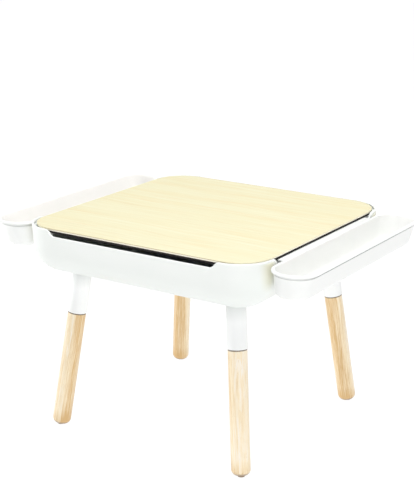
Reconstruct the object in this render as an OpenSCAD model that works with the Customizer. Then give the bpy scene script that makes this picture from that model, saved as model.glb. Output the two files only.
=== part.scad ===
// Low table for children: a square moulded tub on four splayed wooden legs,
// a lift-off wooden lid that closes the tub, and a tray hooked over each side.
// Millimetres. The floor is z = 0, the front faces -Y, the trays are at -X and +X.

/* [Table] */
// Height of the lid's top above the floor
table_h = 466; // [440:1:520]
// Distance of each leg's axis in from the tub's sides, at the tub's underside
leg_inset = 99.4; // [94:0.2:108]
// Lean of each leg from upright, out towards its corner, degrees
leg_lean = 9.3; // [6:0.1:12]

/* [Tub] */
// Side of the square tub, over its rim
tub_w = 588; // [570:1:640]
// Plan radius of the rim's corners
tub_corner = 79; // [74:1:90]
// Depth from the rim to the underside of the floor
tub_depth = 105; // [95:1:125]
// Wall and floor thickness
tub_wall = 3; // [2.4:0.1:4]
// Slope of the side walls, degrees
tub_draft = 4.3; // [2:0.1:6]
// Outside radius between side walls and floor
tub_fillet = 62; // [45:1:66]
// Thickness of the rim, where the wall thickens inwards
rim_t = 5.5; // [5:0.1:7]
// Radius on the rim's top edges
rim_round = 2; // [1:0.1:2.2]
// Thickness of the stiffening ribs under the floor
floor_rib_t = 2.4; // [1.6:0.1:3]
// Height of the stiffening ribs under the floor
floor_rib_h = 6; // [4:0.5:9]
// Distance of the inner floor ribs from the middle lines
floor_rib_at = 65; // [50:1:90]

/* [Rim notches] */
// Depth of the finger and hook notches below the rim
notch_depth = 13.5; // [10:0.5:15]
// Distance of each notch's level floor in from the tub's sides
notch_inset = 100; // [96:1:110]
// Length of the curved run from a notch's floor up to the rim
notch_run = 20; // [18:1:24]
// Slope where that run leaves the floor and reaches the rim, degrees
notch_entry = 14; // [8:1:18]

/* [Lid] */
// Gap between lid and rim
lid_gap = 3.5; // [3:0.1:5]
// Radius of the lid's corners beyond the one that keeps that gap all round
lid_corner_more = 5; // [0:1:8]
// Thickness of the lid
lid_t = 8; // [7:0.5:10]
// Thickness of the dark board under the wooden layer
backing_t = 4.5; // [3:0.5:5.5]
// Thickness of the wood veneer on top
veneer_t = 0.7; // [0.5:0.1:1.2]
// Width of the edge band round the wooden layer
band_w = 2; // [1.5:0.1:3]
// Chamfer on the lid's top and bottom edges
lid_ease = 0.5; // [0.2:0.1:0.6]
// Inward reach of the corner shelves that carry the lid, from the rim
shelf_reach = 14; // [10:1:18]
// Thickness of the corner shelves
shelf_t = 3; // [2:0.1:4]
// Length of a corner shelf along each wall, beyond the corner
shelf_run = 8; // [4:1:10]

/* [Leg sockets] */
// Height of a socket, from its lower end to the tub
socket_drop = 99.6; // [90:0.2:115]
// Diameter of a socket at its lower end
socket_d = 42.6; // [42:0.1:48]
// Diameter of a socket at the tub
socket_top_d = 41; // [40:0.1:46]
// Wall of the upper, hollow part of a socket
socket_wall = 3.2; // [2.5:0.1:4.5]
// Thickness of the web that holds the threaded insert
web_t = 20; // [18:1:26]
// Thickness of the four fins above the web
fin_t = 2.4; // [1.6:0.1:3.5]
// Diameter of the flange under the tub's floor
flange_d = 60; // [60:0.5:63]
// Thickness of the flange
flange_t = 5; // [4:0.5:6]
// Diameter of the circle of screws
screw_circle = 50; // [49:0.5:50.5]
// Diameter of the screw bosses under the flange
boss_d = 9; // [8:0.5:9]
// Depth of the screw bosses below the tub's floor
boss_h = 7; // [7:0.5:9]
// Rounding of a socket's lower edge
socket_round = 1.2; // [0.5:0.1:1.8]

/* [Legs] */
// Diameter of a leg
leg_d = 40; // [38:0.5:41]
// Diameter of the tenon that enters the socket
tenon_d = 34; // [30:0.5:36]
// Length of the tenon
tenon_len = 45; // [35:1:55]
// Radius round a leg's lower end
foot_round = 12.5; // [8:0.5:12.5]
// Rounding of the shoulder below the tenon
shoulder_round = 1.6; // [0.5:0.1:2]
// Diameter of the glide under a leg
pad_d = 16; // [12:0.5:22]
// Thickness of the glide on the leg's axis
pad_t = 2.2; // [2.2:0.1:4]

/* [Fasteners] */
// Diameter of the hanger bolt that joins leg and socket
bolt_d = 8; // [6:0.5:10]
// Length of the bolt inside the leg
bolt_in_leg = 40; // [30:1:42]
// Length of the bolt above the tenon
bolt_above = 19; // [17:1:20]
// Outer diameter of the threaded insert
insert_d = 12.5; // [12:0.5:16]
// Length of the threaded insert
insert_len = 16; // [14:0.5:17]
// Diameter of the insert's collar
collar_d = 17; // [16:0.5:22]
// Thickness of the insert's collar
collar_t = 1.6; // [1:0.1:2]
// Diameter of the floor screws
screw_d = 4; // [3.5:0.1:5]
// Length of a floor screw below its head
screw_len = 9; // [7:0.5:9]
// Diameter of a floor screw's head
screw_head_d = 8; // [7:0.1:9]
// Height of a floor screw's head
screw_head_h = 2.6; // [2:0.1:3.2]

/* [Side trays] */
// Width of a tray over its lip
tray_w = 99; // [95:1:116]
// Distance of a tray's ends in from the tub's sides
tray_inset = 26; // [16:1:34]
// Plan radius of the lip's corners
tray_corner = 47; // [40:1:47]
// Depth of a tray, from its lip's top to its underside
tray_depth = 59; // [50:1:70]
// Gap between the tub's rim and the lip
tray_gap = 3; // [2:0.5:6]
// Wall thickness of a tray
tray_wall = 2.5; // [2:0.1:3.2]
// Slope of the outer side and the ends, degrees
tray_draft = 17; // [8:0.5:18]
// Slope of the side next to the tub, degrees
tray_inner_draft = 2; // [1:0.5:6]
// Outside radius between a tray's sides and its floor
tray_fillet = 16; // [10:1:20]
// Reach of the lip beyond the wall
lip_reach = 4.5; // [3.5:0.1:6]
// Thickness of the lip
lip_t = 3; // [2.4:0.1:4]
// Thickness of the lip's turned-down edge
skirt_t = 2.2; // [1.6:0.1:2.6]
// Height of the lip's turned-down edge
skirt_h = 4.5; // [4:0.1:8]
// Rounding of the lip's top edge
lip_round = 2; // [1:0.1:2.2]

/* [Tray hook] */
// Gap between each end of the hook and the end of the notch's level floor
hook_margin = 5; // [4:1:24]
// Thickness of the hook's inner leg
hook_t = 2.5; // [2:0.1:2.6]
// Depth of the hook's inner leg below its top
hook_drop = 16; // [12:0.5:24]
// Rounding of the hook's inner top edge
hook_round = 1.4; // [0.8:0.1:1.8]
// Height of the tray's top above the notch's floor
hook_rise = 4.5; // [4.4:0.1:6.5]
// Height of the hook's top above the tray's top
hook_crown = 4.4; // [2:0.1:4.8]
// Number of ribs in the hook
hook_ribs = 5; // [3:1:9]
// Thickness of the hook's ribs
hook_rib_t = 3; // [2:0.1:4]
// Depth of the hook's ribs outside the tub, below the notch's floor
hook_rib_h = 18; // [12:1:24]

/* [Fits] */
// Gap between parts that rest on each other and lift off
rest_gap = 0.3; // [0.2:0.05:0.5]
// Radial gap between tenon and socket
tenon_gap = 0.15; // [0.1:0.05:0.4]
// Gap between the hook's ribs and the tub's outside
rib_gap = 0.6; // [0.4:0.1:1]
// Radial gap of the screws in the tub's floor
hole_gap = 0.3; // [0.2:0.05:0.5]

/* [Hidden] */
$fn = 96;

// Bearing of each leg, seen from above
front_left = 225;
front_right = 315;
back_left = 135;
back_right = 45;

// Small overrun that lets a cut pass its surface, and a blend sink into its carrier
over = 1;
sink = 0.6;
// Thickness of a slice in a blended tray
slice_t = 0.02;
// Amount by which a fillet's arc crosses the line that it blends into
crossing = 0.02;
// Steps of a quarter turn in a tray's blended floor edge, and segments in its plan corners
blend_steps = 6;
blend_fn = 64;
// Screws round a socket
screw_count = 4;

rim_z = table_h;
floor_z = rim_z - tub_depth;
notch_z = rim_z - notch_depth;
joint_z = floor_z - socket_drop;
tub_core = tub_w - 2 * tub_corner;
notch_floor = tub_w - 2 * notch_inset;

lid_inset = rim_t + lid_gap;
lid_w = tub_w - 2 * lid_inset;
lid_corner = tub_corner - lid_inset + lid_corner_more;
lid_low = rim_z - lid_t;
board_z = lid_low + backing_t;
veneer_z = rim_z - veneer_t;

leg_offset = tub_w / 2 - leg_inset;
leg_radius = leg_offset * sqrt(2) + socket_drop * tan(leg_lean);
socket_len = socket_drop / cos(leg_lean);
leg_len = (joint_z - pad_t) / cos(leg_lean);
web_low = tenon_len + over;
web_high = web_low + web_t;

tray_top = notch_z + hook_rise;
tray_len = tub_w - 2 * tray_inset;
hook_len = notch_floor - 2 * hook_margin;
lip_low = tray_top - lip_t;
tray_x = tub_w / 2 + tray_gap;
tray_floor = tray_top - tray_depth;
hook_x = lid_w / 2 + (lid_gap - hook_t) / 2 - tray_x;
lip_span = lip_reach + tray_wall;

// Inward step of the tub's outer skin at height z
function skin_step(z) = (rim_z - z) * tan(tub_draft);
// Inward step of a tray's outer skin at height z
function tray_step(z, draft) = (tray_top - z) * tan(draft);

// ---- shared shapes ----

// A section carried round a rounded rectangle. Its x is measured outwards from the outline.
module carried_round(w, len, corner) {
    for (turn = [0:3]) {
        across = turn % 2 == 0 ? w : len;
        along = turn % 2 == 0 ? len : w;
        rotate([0, 0, 90 * turn]) {
            translate([across / 2 - corner, along / 2 - corner, 0])
                rotate_extrude(angle = 90)
                    translate([corner, 0])
                        children();
            translate([across / 2, along / 2 - corner, 0])
                rotate([90, 0, 0])
                    linear_extrude(along - 2 * corner)
                        children();
        }
    }
}

// A flat slab that fills the middle of a carried profile
module middle(side, low, high) {
    translate([-side / 2, -side / 2, low])
        cube([side, side, high - low]);
}

// The bit between a square corner at the origin and an arc, with the arc's centre towards (sx, sy)
module corner_bit(r, sx, sy) {
    difference() {
        translate([sx > 0 ? -over : -r, sy > 0 ? -over : -r])
            square(r + over);
        translate([sx * r, sy * r])
            circle(r);
    }
}

// ---- tub ----

// Half section of the bowl whose surface lies the given depth inside the tub's skin
module bowl_section(depth) {
    top = rim_z + over;
    centre = [
        -skin_step(floor_z + tub_fillet) - tub_fillet / cos(tub_draft),
        floor_z + tub_fillet
    ];
    r = tub_fillet - depth;
    wall_x = -depth / cos(tub_draft) - crossing;
    blend_z = centre.y - r * sin(tub_draft);
    polygon([
        [-tub_corner, floor_z + depth],
        [centre.x, floor_z + depth],
        centre,
        [wall_x - skin_step(blend_z), blend_z],
        [wall_x - skin_step(top), top],
        [-tub_corner, top]
    ]);
    intersection() {
        translate(centre)
            circle(r);
        translate([centre.x, floor_z])
            square([tub_fillet, tub_fillet]);
    }
}

// Section of the tub's wall up to the given height, its top edges rounded
module wall_section(top) {
    difference() {
        bowl_section(0);
        intersection() {
            bowl_section(tub_wall);
            translate([-tub_corner - over, floor_z])
                square([tub_corner + over - rim_t, tub_depth + 2 * over]);
        }
        translate([-tub_corner - over, top])
            square([tub_corner + 2 * over, tub_depth]);
        translate([-skin_step(top) - crossing, top])
            corner_bit(rim_round, -1, -1);
        translate([-rim_t, top])
            corner_bit(rim_round, 1, -1);
    }
}

// Face of a notch: a level floor whose ends sweep up to the rim in two arcs
module notch_face() {
    steepest = 2 * atan(notch_depth / notch_run) - notch_entry;
    r = notch_run / 2 / (sin(steepest) - sin(notch_entry));
    half = notch_floor / 2;
    mid_x = half + notch_run / 2;
    mid_z = notch_z + notch_depth / 2;
    translate([-half, notch_z])
        square([2 * half, notch_depth + over]);
    for (side = [0, 1])
        mirror([side, 0]) {
            intersection() {
                translate([half - over, notch_z])
                    square([mid_x - half + over, notch_depth + over]);
                translate([half - r * sin(notch_entry), notch_z + r * cos(notch_entry)])
                    circle(r);
            }
            difference() {
                translate([mid_x, mid_z])
                    square([notch_run / 2 + over, rim_z - mid_z + over]);
                translate([half + notch_run + r * sin(notch_entry), rim_z - r * cos(notch_entry)])
                    circle(r);
            }
        }
}

module notches() {
    for (turn = [0, 90])
        rotate([0, 0, turn])
            translate([0, tub_w / 2 + over, 0])
                rotate([90, 0, 0])
                    linear_extrude(tub_w + 2 * over)
                        notch_face();
}

// Section of a corner shelf: it carries the lid and slopes back into the rim's thick part
module shelf_section() {
    top = lid_low - rest_gap;
    root = -rim_t + sink;
    tip = -rim_t - shelf_reach;
    polygon([
        [root, top],
        [tip, top],
        [tip, top - shelf_t],
        [root, top - shelf_t - root + tip]
    ]);
}

// A shelf round each corner, with a short run along both walls
module corner_shelves() {
    for (turn = [0:3])
        rotate([0, 0, 90 * turn]) {
            translate([tub_core / 2, tub_core / 2, 0])
                rotate_extrude(angle = 90)
                    translate([tub_corner, 0])
                        shelf_section();
            translate([tub_w / 2, tub_core / 2, 0])
                rotate([90, 0, 0])
                    linear_extrude(shelf_run)
                        shelf_section();
            translate([tub_core / 2 - shelf_run, tub_w / 2, 0])
                rotate([90, 0, 90])
                    linear_extrude(shelf_run)
                        shelf_section();
        }
}

// Crossed ribs under the floor, and one between each pair of sockets
module floor_ribs() {
    reach = tub_w / 2 - tub_fillet - skin_step(floor_z) - floor_rib_t;
    side_reach = leg_offset - flange_d / 2 - floor_rib_t;
    for (turn = [0, 90])
        rotate([0, 0, turn])
            for (side = [-1, 1]) {
                translate([side * floor_rib_at - floor_rib_t / 2, -reach, floor_z - floor_rib_h])
                    cube([floor_rib_t, 2 * reach, floor_rib_h + sink]);
                translate([side * leg_offset - floor_rib_t / 2, -side_reach, floor_z - floor_rib_h])
                    cube([floor_rib_t, 2 * side_reach, floor_rib_h + sink]);
            }
}

module tub() {
    color("white")
        difference() {
            union() {
                carried_round(tub_w, tub_w, tub_corner)
                    wall_section(notch_z);
                difference() {
                    carried_round(tub_w, tub_w, tub_corner)
                        wall_section(rim_z);
                    notches();
                }
                middle(tub_core, floor_z, floor_z + tub_wall);
                corner_shelves();
                floor_ribs();
            }
            for (bearing = [front_left, front_right, back_left, back_right])
                at_screws(bearing)
                    translate([0, 0, floor_z - over])
                        cylinder(h = tub_wall + 2 * over, d = screw_d + 2 * hole_gap);
        }
}

// ---- lid ----

module lid_layer(low, high) {
    carried_round(lid_w, lid_w, lid_corner)
        children();
    middle(lid_w - 2 * lid_corner, low, high);
}

module lid_core() {
    color("burlywood")
        lid_layer(board_z, veneer_z)
            translate([-lid_corner, board_z])
                square([lid_corner - band_w, veneer_z - board_z]);
}

module lid_edge_band() {
    color("cornsilk")
        carried_round(lid_w, lid_w, lid_corner)
            translate([-band_w, board_z])
                square([band_w, veneer_z - board_z]);
}

module lid_top_veneer() {
    color("palegoldenrod")
        lid_layer(veneer_z, rim_z)
            polygon([
                [-lid_corner, veneer_z],
                [0, veneer_z],
                [0, rim_z - lid_ease],
                [-lid_ease, rim_z],
                [-lid_corner, rim_z]
            ]);
}

module lid_backing_board() {
    color("dimgray")
        lid_layer(lid_low, board_z)
            polygon([
                [-lid_corner, lid_low],
                [-lid_ease, lid_low],
                [0, lid_low + lid_ease],
                [0, board_z],
                [-lid_corner, board_z]
            ]);
}

// ---- legs ----

// A leg's own frame: origin where wood meets socket, +Z up the leg
module on_leg(bearing) {
    rotate([0, 0, bearing])
        translate([leg_radius, 0, joint_z])
            rotate([0, -leg_lean, 0])
                children();
}

// Upright places round the point where a leg's axis meets the tub
module at_screws(bearing) {
    rotate([0, 0, bearing])
        translate([leg_offset * sqrt(2), 0, 0])
            for (k = [0:screw_count - 1])
                rotate([0, 0, 45 + 360 / screw_count * k])
                    translate([screw_circle / 2, 0, 0])
                        children();
}

module socket(bearing) {
    reach = 2 * socket_len;
    upper_r = socket_top_d / 2 - socket_wall;
    color("whitesmoke")
        difference() {
            union() {
                intersection() {
                    on_leg(bearing)
                        rotate_extrude()
                            difference() {
                                polygon([
                                    [0, 0],
                                    [socket_d / 2, 0],
                                    [socket_top_d / 2, socket_len],
                                    [socket_top_d / 2, reach],
                                    [0, reach]
                                ]);
                                translate([socket_d / 2, 0])
                                    corner_bit(socket_round, -1, 1);
                            }
                    translate([-tub_w / 2, -tub_w / 2, 0])
                        cube([tub_w, tub_w, floor_z]);
                }
                rotate([0, 0, bearing])
                    translate([leg_offset * sqrt(2), 0, floor_z - flange_t])
                        cylinder(h = flange_t, d = flange_d);
                at_screws(bearing)
                    translate([0, 0, floor_z - boss_h])
                        cylinder(h = boss_h, d = boss_d);
            }
            on_leg(bearing) {
                translate([0, 0, -over])
                    cylinder(h = web_low + over, d = tenon_d + 2 * tenon_gap);
                translate([0, 0, -over])
                    cylinder(h = web_low + collar_t + over, d = collar_d);
                cylinder(h = web_low + insert_len, d = insert_d);
                cylinder(h = web_high + over, d = bolt_d);
                difference() {
                    translate([0, 0, web_high])
                        cylinder(h = reach, r = upper_r);
                    for (turn = [0, 90])
                        rotate([0, 0, turn + 45])
                            translate([-upper_r - over, -fin_t / 2, web_high - over])
                                cube([2 * upper_r + 2 * over, fin_t, reach]);
                }
            }
            at_screws(bearing)
                translate([0, 0, floor_z + tub_wall - screw_len])
                    cylinder(h = screw_len, d = screw_d);
        }
}

module leg(bearing) {
    color("tan")
        on_leg(bearing)
            difference() {
                union() {
                    rotate_extrude()
                        difference() {
                            translate([0, -leg_len])
                                square([leg_d / 2, leg_len]);
                            translate([leg_d / 2, 0])
                                corner_bit(shoulder_round, -1, -1);
                            translate([leg_d / 2, -leg_len])
                                corner_bit(foot_round, -1, 1);
                        }
                    translate([0, 0, -over])
                        cylinder(h = tenon_len + over, d = tenon_d);
                }
                translate([0, 0, tenon_len - bolt_in_leg])
                    cylinder(h = bolt_in_leg + over, d = bolt_d);
            }
}

module glide(bearing) {
    color("peru")
        intersection() {
            on_leg(bearing)
                translate([0, 0, -leg_len - 2 * pad_d])
                    cylinder(h = 2 * pad_d, d = pad_d);
            translate([-tub_w / 2, -tub_w / 2, 0])
                cube([tub_w, tub_w, floor_z]);
        }
}

module hanger_bolt(bearing) {
    tip = bolt_d / 6;
    color("silver")
        on_leg(bearing)
            rotate_extrude()
                polygon([
                    [0, tenon_len - bolt_in_leg],
                    [bolt_d / 2 - tip, tenon_len - bolt_in_leg + tip],
                    [bolt_d / 2, tenon_len - bolt_in_leg + 2 * tip],
                    [bolt_d / 2, tenon_len + bolt_above - tip],
                    [bolt_d / 2 - tip, tenon_len + bolt_above],
                    [0, tenon_len + bolt_above]
                ]);
}

module threaded_insert(bearing) {
    color("goldenrod")
        on_leg(bearing)
            translate([0, 0, web_low])
                difference() {
                    union() {
                        cylinder(h = insert_len, d = insert_d);
                        cylinder(h = collar_t, d = collar_d);
                    }
                    translate([0, 0, -over])
                        cylinder(h = insert_len + 2 * over, d = bolt_d);
                }
}

// One pan-headed screw: its dome is an arc through the head's edge and its crown
module screw() {
    half = screw_head_d / 2;
    edge = screw_head_h / 3;
    dome = screw_head_h - edge;
    dome_r = (half * half + dome * dome) / (2 * dome);
    slot = screw_head_d / 2;
    difference() {
        rotate_extrude() {
            translate([0, -screw_len])
                square([screw_d / 2, screw_len + sink]);
            square([half, edge]);
            intersection() {
                translate([0, edge])
                    square([half, dome]);
                translate([0, screw_head_h - dome_r])
                    circle(dome_r);
            }
        }
        for (turn = [0, 90])
            rotate([0, 0, turn])
                translate([-slot / 2, -slot / 8, screw_head_h / 2])
                    cube([slot, slot / 4, screw_head_h]);
    }
}

module socket_screws(bearing) {
    color("lightgray")
        at_screws(bearing)
            translate([0, 0, floor_z + tub_wall])
                screw();
}

// ---- trays ----

// Plan slice of a tray whose outer side, tub side and ends are set in by the given amounts
module tray_slice(z, outer, inner, corner) {
    low_x = lip_reach + inner;
    high_x = tray_w - lip_reach - outer;
    half = tray_len / 2 - lip_reach - outer;
    r = min(corner, (high_x - low_x) / 2 - sink);
    translate([0, 0, z])
        linear_extrude(slice_t)
            tray_plan(low_x, high_x, half, r);
}

// Rounded rectangle between two x values
module tray_plan(low_x, high_x, half, r) {
    for (x = [low_x + r, high_x - r])
        for (side = [-1, 1])
            translate([x, side * (half - r)])
                circle(r, $fn = blend_fn);
    translate([low_x, -half + r])
        square([high_x - low_x, 2 * (half - r)]);
    translate([low_x + r, -half])
        square([high_x - low_x - 2 * r, 2 * half]);
}

// The tray's body as one blend from its lip down to its floor, the given depth inside its skin
module tray_blend(depth, top) {
    r = tray_fillet - depth;
    centre_z = tray_floor + tray_fillet;
    outer_c = tray_step(centre_z, tray_draft) + tray_fillet / cos(tray_draft);
    inner_c = tray_step(centre_z, tray_inner_draft) + tray_fillet / cos(tray_inner_draft);
    outer_top = tray_step(top, tray_draft) + depth / cos(tray_draft);
    inner_top = tray_step(top, tray_inner_draft) + depth / cos(tray_inner_draft);
    corner = tray_corner - lip_reach;
    hull() {
        tray_slice(top, outer_top, inner_top, corner - outer_top);
        for (k = [0:blend_steps]) {
            a = tray_draft + (90 - tray_draft) * k / blend_steps;
            outer = outer_c - r * cos(a);
            tray_slice(centre_z - r * sin(a), outer, inner_c - r * cos(a), corner - outer);
        }
    }
}

// Section of the lip: a flat rim with a turned-down edge
module lip_section() {
    difference() {
        union() {
            translate([-lip_span, lip_low])
                square([lip_span, lip_t]);
            translate([-skirt_t, tray_top - skirt_h])
                square([skirt_t, skirt_h]);
        }
        translate([0, tray_top])
            corner_bit(lip_round, -1, -1);
    }
}

// Section of the hook: a plate that crowns over the notch and a leg inside the tub
module hook_section() {
    difference() {
        union() {
            polygon([
                [hook_x, lip_low + hook_crown],
                [-tray_gap, lip_low + hook_crown],
                [lip_reach, lip_low],
                [lip_span, lip_low],
                [lip_span, tray_top],
                [lip_reach, tray_top],
                [-tray_gap, tray_top + hook_crown],
                [hook_x, tray_top + hook_crown]
            ]);
            translate([hook_x, tray_top - hook_drop])
                square([hook_t, hook_drop + hook_crown]);
        }
        translate([hook_x, tray_top + hook_crown])
            corner_bit(hook_round, 1, -1);
    }
}

// A rib of the hook: it rests on the notch's floor and stands off the tub's outside
module hook_rib() {
    seat = notch_z + rest_gap;
    low = notch_z - hook_rib_h;
    outside = -tray_gap + rib_gap;
    root = lip_reach + tray_wall / 2;
    under = lip_low + sink;
    rotate([90, 0, 0])
        linear_extrude(hook_rib_t, center = true)
            polygon([
                [hook_x + sink, seat],
                [outside, seat],
                [outside, low],
                [root, low - hook_rib_h / 2],
                [root, under],
                [lip_reach, under],
                [-tray_gap, under + hook_crown],
                [hook_x + sink, under + hook_crown]
            ]);
}

module tray() {
    pitch = hook_len / hook_ribs;
    translate([tray_x, 0, 0]) {
        difference() {
            union() {
                translate([tray_w / 2, 0, 0])
                    carried_round(tray_w, tray_len, tray_corner)
                        lip_section();
                tray_blend(0, tray_top - lip_t / 2);
            }
            tray_blend(tray_wall, tray_top + over);
        }
        translate([0, hook_len / 2, 0])
            rotate([90, 0, 0])
                linear_extrude(hook_len)
                    hook_section();
        for (k = [0:hook_ribs - 1])
            translate([0, (k + 0.5) * pitch - hook_len / 2, 0])
                hook_rib();
    }
}

module right_tray() {
    color("ghostwhite")
        tray();
}

module left_tray() {
    color("ghostwhite")
        mirror([1, 0, 0])
            tray();
}

// ---- assembly ----

tub();
lid_core();
lid_top_veneer();
lid_edge_band();
lid_backing_board();
left_tray();
right_tray();
socket(front_left);  // front_left_socket
socket(front_right);  // front_right_socket
socket(back_left);  // back_left_socket
socket(back_right);  // back_right_socket
leg(front_left);  // front_left_leg
leg(front_right);  // front_right_leg
leg(back_left);  // back_left_leg
leg(back_right);  // back_right_leg
glide(front_left);  // front_left_glide
glide(front_right);  // front_right_glide
glide(back_left);  // back_left_glide
glide(back_right);  // back_right_glide
hanger_bolt(front_left);  // front_left_hanger_bolt
hanger_bolt(front_right);  // front_right_hanger_bolt
hanger_bolt(back_left);  // back_left_hanger_bolt
hanger_bolt(back_right);  // back_right_hanger_bolt
threaded_insert(front_left);  // front_left_threaded_insert
threaded_insert(front_right);  // front_right_threaded_insert
threaded_insert(back_left);  // back_left_threaded_insert
threaded_insert(back_right);  // back_right_threaded_insert
socket_screws(front_left);  // front_left_socket_screws
socket_screws(front_right);  // front_right_socket_screws
socket_screws(back_left);  // back_left_socket_screws
socket_screws(back_right);  // back_right_socket_screws
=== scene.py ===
import bpy
import bmesh
from math import sin, cos, tan, atan, sqrt, pi, radians
from mathutils import Matrix, Vector


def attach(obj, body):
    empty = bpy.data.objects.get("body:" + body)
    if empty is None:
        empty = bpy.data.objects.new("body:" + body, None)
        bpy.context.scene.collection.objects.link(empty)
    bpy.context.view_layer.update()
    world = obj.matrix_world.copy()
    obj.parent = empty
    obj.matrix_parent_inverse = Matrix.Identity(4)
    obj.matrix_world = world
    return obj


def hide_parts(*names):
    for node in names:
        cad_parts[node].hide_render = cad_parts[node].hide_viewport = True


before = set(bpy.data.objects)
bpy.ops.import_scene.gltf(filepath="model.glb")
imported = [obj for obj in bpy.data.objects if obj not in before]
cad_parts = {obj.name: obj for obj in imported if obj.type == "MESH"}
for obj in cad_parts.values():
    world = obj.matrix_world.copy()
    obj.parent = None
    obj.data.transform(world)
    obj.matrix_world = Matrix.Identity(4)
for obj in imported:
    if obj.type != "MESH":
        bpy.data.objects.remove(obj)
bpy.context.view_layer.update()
scene = bpy.context.scene
mm = 0.001   # sizes below are in millimetres
print("frame loaded:", len(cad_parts), "nodes")

cameraSetup = {
    "place": (1.45484, -2.22844, 1.17518),   # metres
    "azimuth": 33.178,
    "elevation": 16.112,
    "roll": 0.0794,
    "lens": 94.434,
    "filmHigh": 36,
    "near": 0.05,
}


def link(name, data):
    made = bpy.data.objects.new(name, data)
    scene.collection.objects.link(made)
    return made


def aimCamera(setup):
    az, el, roll = (radians(setup[k]) for k in ("azimuth", "elevation", "roll"))
    back = Vector((sin(az) * cos(el), -cos(az) * cos(el), sin(el)))
    right = (-back).cross(Vector((0, 0, 1))).normalized()
    up = right.cross(-back)
    across = cos(roll) * right + sin(roll) * up
    above = -sin(roll) * right + cos(roll) * up
    lens = bpy.data.cameras.new("productCamera")
    lens.sensor_fit = "VERTICAL"
    lens.sensor_height = setup["filmHigh"]
    lens.lens = setup["lens"]
    lens.clip_start = setup["near"]
    turn = Matrix((across, above, back)).transposed().to_4x4()
    scene.camera = link("productCamera", lens)
    scene.camera.matrix_world = Matrix.Translation(setup["place"]) @ turn


aimCamera(cameraSetup)
print("camera placed")


def feed(tree, socket, value):
    if isinstance(value, bpy.types.NodeSocket):
        tree.links.new(value, socket)
    else:
        socket.default_value = value


def put(tree, kind, **settings):
    # a node, its settings and its inputs
    node = tree.nodes.new(kind)
    for key, value in settings.items():
        if key in node.inputs.keys():
            feed(tree, node.inputs[key], value)
        else:
            setattr(node, key, value)
    return node


def objectPlace(tree):
    return put(tree, "ShaderNodeTexCoord").outputs["Object"]


def onMesh(tree, name, output="Fac"):
    # a value that the mesh keeps on its points
    node = put(tree, "ShaderNodeAttribute", attribute_type="GEOMETRY", attribute_name=name)
    return node.outputs[output]


def split(tree, vector):
    return put(tree, "ShaderNodeSeparateXYZ", Vector=vector).outputs


def drift(tree, amount, offset, place):
    # moves a place by an offset, as far as the amount says
    node = put(tree, "ShaderNodeVectorMath", operation="MULTIPLY_ADD")
    for socket, value in zip(node.inputs, (amount, offset, place)):
        feed(tree, socket, value)
    return node.outputs["Vector"]


def stretched(tree, vector, scale, shift=(0, 0, 0)):
    return put(tree, "ShaderNodeMapping", Vector=vector, Scale=scale, Location=shift).outputs["Vector"]


def noise(tree, place, how):
    # how: detail and rough, and where wanted scale per metre, stretch, shift and distortion
    if "stretch" in how:
        place = stretched(tree, place, how["stretch"], how.get("shift", (0, 0, 0)))
    node = put(tree, "ShaderNodeTexNoise", Vector=place, Scale=how.get("scale", 1.0), Detail=how["detail"],
               Roughness=how["rough"], Distortion=how.get("distortion", 0.0))
    return node.outputs["Fac"]


def ramp(tree, factor, stops):
    node = put(tree, "ShaderNodeValToRGB", Fac=factor)
    marks = node.color_ramp.elements
    while len(marks) < len(stops):
        marks.new(0.5)
    for mark, (place, shade) in zip(marks, stops):
        mark.position = place
        mark.color = (*shade, 1)
    return node.outputs["Color"]


def blendColour(tree, factor, first, second, mode="MIX"):
    node = put(tree, "ShaderNodeMix", data_type="RGBA", blend_type=mode)
    for k, value in ((0, factor), (6, first), (7, second)):   # the colour sockets come after the others
        feed(tree, node.inputs[k], (*value, 1) if isinstance(value, tuple) else value)
    return node.outputs[2]


def calc(tree, operation, *values):
    node = put(tree, "ShaderNodeMath", operation=operation)
    for socket, value in zip(node.inputs, values):
        feed(tree, socket, value)
    return node.outputs[0]


def weighed(tree, *pairs):
    # the sum of some values, each times its share
    total, *others = [calc(tree, "MULTIPLY", value, share) for value, share in pairs]
    for term in others:
        total = calc(tree, "ADD", total, term)
    return total


def remap(tree, value, low, high, toLow, toHigh):
    span = {"From Min": low, "From Max": high, "To Min": toLow, "To Max": toHigh}
    return put(tree, "ShaderNodeMapRange", Value=value, **span).outputs["Result"]


def grow(tree, value, span, unit=1.0):
    # span: nothing at the first number, rising to the third at the second
    low, high, most = span
    return remap(tree, value, low * unit, high * unit, 0.0, most)


def newFinish(name):
    material = bpy.data.materials.new(name)
    material.use_nodes = True
    return material, material.node_tree, material.node_tree.nodes["Principled BSDF"]


noiseSpan = (0.3, 0.7)   # most of a noise lies between these


def dress(tree, shader, colour, rubbed, height, look):
    # colour, a roughness that follows a noise, a fine relief, and the plain numbers
    strength, depth = look["relief"]
    bump = put(tree, "ShaderNodeBump", Strength=strength, Distance=depth * mm, Height=height)
    given = {"Base Color": colour, "Roughness": remap(tree, rubbed, *noiseSpan, *look["gloss"]),
             "Normal": bump.outputs["Normal"], **look.get("sockets", {})}
    for label, value in given.items():
        feed(tree, shader.inputs[label], value)


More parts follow.
